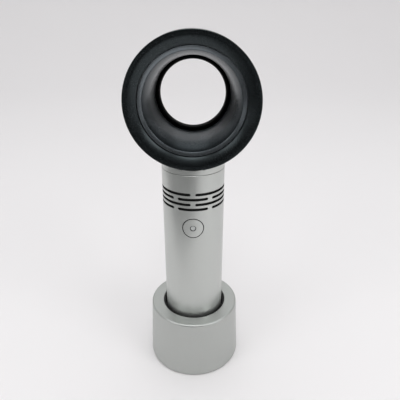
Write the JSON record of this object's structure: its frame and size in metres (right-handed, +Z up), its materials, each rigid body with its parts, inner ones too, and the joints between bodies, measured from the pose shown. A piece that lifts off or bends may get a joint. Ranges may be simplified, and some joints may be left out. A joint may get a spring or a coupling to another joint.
{
  "type": "bladeless fan",
  "caption": "Handheld bladeless fan: silver tube handle with intake slots and a button, black ring head with a funnel outlet, standing in a round charging dock.",
  "frame": {"origin": "centre of the dock's underside, on the surface that it stands on", "axes": "+Z up along the handle, -Y is the side that the air leaves from (with the button), +X to the right seen from the front"},
  "size_m": [0.07, 0.0584, 0.206],
  "materials": {
    "dock_silver": "fine satin silver coat, turned edge",
    "handle_silver": "fine satin silver coat",
    "shell_silver": "silver painted plastic, satin",
    "button_silver": "finely turned satin silver",
    "bezel_black": "satin black with a faint grain",
    "funnel_grey": "smooth dark grey, semi gloss",
    "throat_black": "black",
    "liner_black": "black moulded",
    "plate_black": "black, fine spark texture",
    "cap_black": "black moulded",
    "foot_rubber": "matt black rubber",
    "seal_rubber": "soft black rubber",
    "steel": "plain steel",
    "screw_steel": "zinc plated, dark",
    "contact_gold": "gold plated brass",
    "nickel": "nickel strip",
    "board_green": "glass epoxy board, green solder mask",
    "chip_black": "black moulded package",
    "usb_steel": "drawn stainless shell",
    "cell_wrap": "blue shrink wrap over a steel can",
    "frame_white": "white moulded nylon",
    "lens_frost": "frosted translucent",
    "led_white": "white package, yellow phosphor",
    "motor_dark": "dark plated steel",
    "stator_steel": "stacked laminations",
    "copper_wire": "enamelled copper",
    "magnet": "nickel plated magnet",
    "impeller_grey": "light grey glass filled nylon",
    "duct_black": "black moulded",
    "lead_red": "silicone insulation"
  },
  "bodies": {
    "dock": {"dock_shell": "dock_silver", "socket_liner": "liner_black", "dock_base_plate": "plate_black", "dock_foot_ring": "foot_rubber", "dock_screws": "screw_steel", "dock_weight": "steel", "dock_board": "board_green", "usb_socket": "usb_steel", "contact_block": "cap_black", "contact_springs": "steel"},
    "fan": {"handle_tube": "handle_silver", "end_cap": "cap_black", "end_cap_screws": "screw_steel", "charge_pad_centre": "contact_gold", "charge_pad_ring": "contact_gold", "charge_board": "board_green", "charge_leads": "lead_red", "battery_cradle": "frame_white", "battery_cell": "cell_wrap", "battery_contact_bottom": "nickel", "battery_contact_top": "nickel", "board_rails": "duct_black", "control_board": "board_green", "control_chip": "chip_black", "tact_switch": "chip_black", "indicator_led": "led_white", "motor_mount": "duct_black", "intake_filter": "seal_rubber", "motor_screws": "screw_steel", "vibration_pad": "seal_rubber", "motor_base": "steel", "motor_bearings": "steel", "motor_stator": "stator_steel", "motor_windings": "copper_wire", "motor_leads": "seal_rubber", "impeller_housing": "duct_black", "diffuser": "duct_black", "rear_shell": "shell_silver", "front_bezel": "bezel_black", "bezel_seal": "seal_rubber", "funnel": "funnel_grey", "throat_ring": "throat_black"},
    "button": {"power_button": "button_silver", "button_lens": "lens_frost", "switch_plunger": "chip_black"},
    "rotor": {"motor_shaft": "steel", "rotor_bell": "motor_dark", "rotor_magnets": "magnet", "impeller": "impeller_grey"},
    "centre_pin": {"contact_pin_centre": "contact_gold"},
    "outer_pin": {"contact_pin_outer": "contact_gold"}
  },
  "joints": [
    {"name": "handle_lift", "type": "slide", "parent": "dock", "child": "fan", "axis": [0, 0, 1], "range_m": [0, 0.04]},
    {"name": "power_button_press", "type": "slide", "parent": "fan", "child": "button", "axis": [0, 1, 0], "range_m": [0, 0.0005], "stiffness_N_per_m": 3000},
    {"name": "impeller_spin", "type": "hinge", "parent": "fan", "child": "rotor", "pos_m": [0, 0, 0.118], "axis": [0, 0, 1], "continuous": true},
    {"name": "centre_pin_press", "type": "slide", "parent": "dock", "child": "centre_pin", "axis": [0, 0, 1], "range_m": [-0.0009, 0], "stiffness_N_per_m": 600},
    {"name": "outer_pin_press", "type": "slide", "parent": "dock", "child": "outer_pin", "axis": [0, 0, 1], "range_m": [-0.0009, 0], "stiffness_N_per_m": 600}
  ]
}
